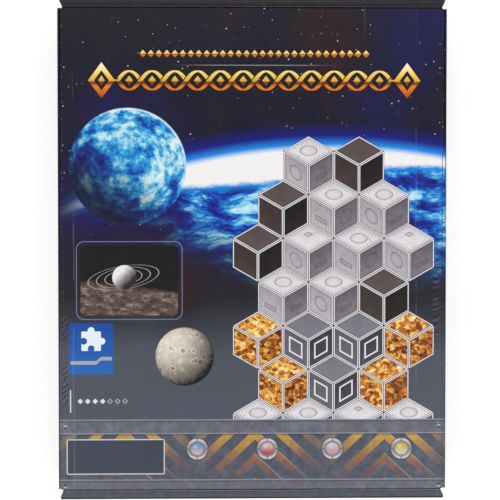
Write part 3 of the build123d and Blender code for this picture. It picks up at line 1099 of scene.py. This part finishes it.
foldSteps = closure["foldSteps"]
foldRun = tuckFrom - foldHeight
closureCuts = rollCuts + [foldHeight + foldRun * step / foldSteps for step in range(foldSteps + 1)]
tuckSteps = int((tuckEnd - tuckFrom) / closure["tuckStep"])
closureCuts += [tuckFrom + (tuckEnd - tuckFrom) * step / tuckSteps for step in range(1, tuckSteps)]
tipWide = 2 * (closureHigh.x - closure["shoulderIn"] - closure["taper"] - closure["corner"])
for endName, end in ends.items():
    body = f"{endName}_closure"
    place = closurePlace(end)
    makeBoard(
        f"{body}_board", body, [f"{body}_panel", f"{endName}_tuck_flap"],
        closureOutline(), closureCuts, {1: plies["linerShort"]}, place, endPrint,
    )
    makeFlutes(f"{endName}_tuck_flutes", body, [(0, tuckEnd - fluteBack, tipWide, place)])


# Dust flaps, with their outlines from the frame

def dustPlace(hingeX, hingeY, end, side):
    def place(across, along, down):
        out, run = hingeRoll(along, down)
        return Vector((side * (hingeX - run), end * (hingeY + out), across))
    return place


def makeDustFlap(endName, sideName):
    node = f"{endName}_{sideName}_dust_flap"
    pivot = joints[f"{endName}_{sideName}_flap_crease"]["pos_m"]
    end = ends[endName]
    side = sides[sideName]
    pivotX = abs(pivot[0]) / mm
    pivotY = abs(pivot[1]) / mm
    face = outlineOf(node, 1, end * (pivotY + board / 2), 2, 0)
    outline = [(across, pivotX - abs(x)) for across, x in face]
    outline = [(across, along if along > 0.01 else -quarterRoll) for across, along in outline]
    place = dustPlace(pivotX, pivotY, end, side)
    body = f"{endName}_{sideName}_flap"
    cutEnds = {1: plies["linerShort"]}
    makeBoard(f"{node}_board", body, [node], outline, rollCuts, cutEnds, place, endPrint)
    freeEdge = max(along for _, along in outline)
    tips = [across for across, along in outline if along > freeEdge - 0.01]
    wide = max(tips) - min(tips)
    middle = (max(tips) + min(tips)) / 2
    makeFlutes(f"{node}_flutes", body, [(middle, freeEdge - fluteBack, wide, place)])


for endName in ends:
    for sideName in sides:
        makeDustFlap(endName, sideName)
wrapped = dict.fromkeys(("back_panel", "left_side_panel", "right_side_panel"), wrapPrint)
for node, material in (wrapped | {"glue_flap": materials[bare]}).items():
    surfaces = frame["nodes"][node].data.materials
    surfaces.clear()
    surfaces.append(material)
print("boards made")


# Floor, light and camera

studio = {
    "floor": 0.42, "floorLift": 0.66, "floorHalf": 6.0, "floorDrop": 0.0003, "zenith": 0.35, "horizon": 0.3,
    "lamp": 13.7, "lampSize": 1.4, "lampAway": 1.9, "lampRise": 50, "lampTurns": (215, 325, 90),
}


def makeFloor():
    mesh = bpy.data.meshes.new("floor")
    half = studio["floorHalf"]
    under = cadLow.z - studio["floorDrop"]
    corners = [(-half, -half, under), (half, -half, under), (half, half, under), (-half, half, under)]
    mesh.from_pydata(corners, [], [(0, 1, 2, 3)])
    floor = addObject("floor", mesh)
    paint = Paint("paleFloor")
    level = studio["floor"]
    grain = paint.noise(paint.x, paint.y, 40, 3)
    dark = (level, level, level, 1)
    light = (level * 1.03, level * 1.03, level * 1.02, 1)
    paint.set({"Base Color": paint.ramp(grain, (0.3, dark), (0.7, light)), "Roughness": 0.9})
    paint.set({"Emission Color": (1, 1, 1, 1)})
    rays = paint.node("ShaderNodeLightPath", output="Is Camera Ray")
    others = rays.socket.node.outputs
    seen = rays + Field(paint, others["Is Glossy Ray"]) + Field(paint, others["Is Transmission Ray"])
    paint.set({"Emission Strength": seen * studio["floorLift"]})
    mesh.materials.append(paint.material)


def makeLight():
    world = bpy.data.worlds.new("paleStudio")
    bpy.context.scene.world = world
    world.use_nodes = True
    graph = Graph(world.node_tree)
    rays = graph.node("ShaderNodeLightPath", output="Is Camera Ray")
    aim = graph.node("ShaderNodeTexCoord", output="Generated")
    rise = graph.highest(graph.node("ShaderNodeSeparateXYZ", None, {0: aim}, "Z"), 0)
    soft = studio["horizon"] + rise * (studio["zenith"] - studio["horizon"])
    strength = soft + rays * (1 - soft)
    background = world.node_tree.nodes["Background"]
    background.inputs["Color"].default_value = (1, 1, 1, 1)
    graph.feed(background.inputs["Strength"], strength)
    for number, turn in enumerate(studio["lampTurns"]):
        lamp = bpy.data.lights.new(f"softbox{number}", "AREA")
        lamp.energy = studio["lamp"]
        lamp.size = studio["lampSize"]
        around = math.radians(turn)
        rise = math.radians(studio["lampRise"])
        away = Vector((math.cos(around) * math.cos(rise), math.sin(around) * math.cos(rise), math.sin(rise)))
        holder = addObject(f"softbox{number}", lamp)
        holder.location = away * studio["lampAway"]
        holder.rotation_euler = (-away).to_track_quat("-Z", "Y").to_euler()


camera = {
    "away": 950.0, "frameWide": 308.15, "sensor": 36.0, "aimX": -1.66, "aimY": -0.2,
    "besideX": -23.0, "beyondY": 29.0,
}


def makeCamera():
    # almost straight above: a little beyond the middle, so that the top end is a little wider,
    # and a little to the left of it, so that the left side is a little taller
    lens = bpy.data.cameras.new("camera")
    lens.sensor_width = camera["sensor"]
    lens.lens = camera["sensor"] * camera["away"] / camera["frameWide"]
    lens.clip_start = 0.01
    holder = addObject("camera", lens)
    aim = Vector((camera["aimX"], camera["aimY"], depth))
    holder.location = (aim + Vector((camera["besideX"], camera["beyondY"], camera["away"]))) * mm
    tilt = math.atan(camera["beyondY"] / camera["away"])
    holder.rotation_euler = (-tilt, math.atan(camera["besideX"] / camera["away"]), 0)
    bpy.context.scene.camera = holder


makeFloor()
makeLight()
makeCamera()
bpy.context.scene.view_settings.view_transform = "Standard"
print("studio made")
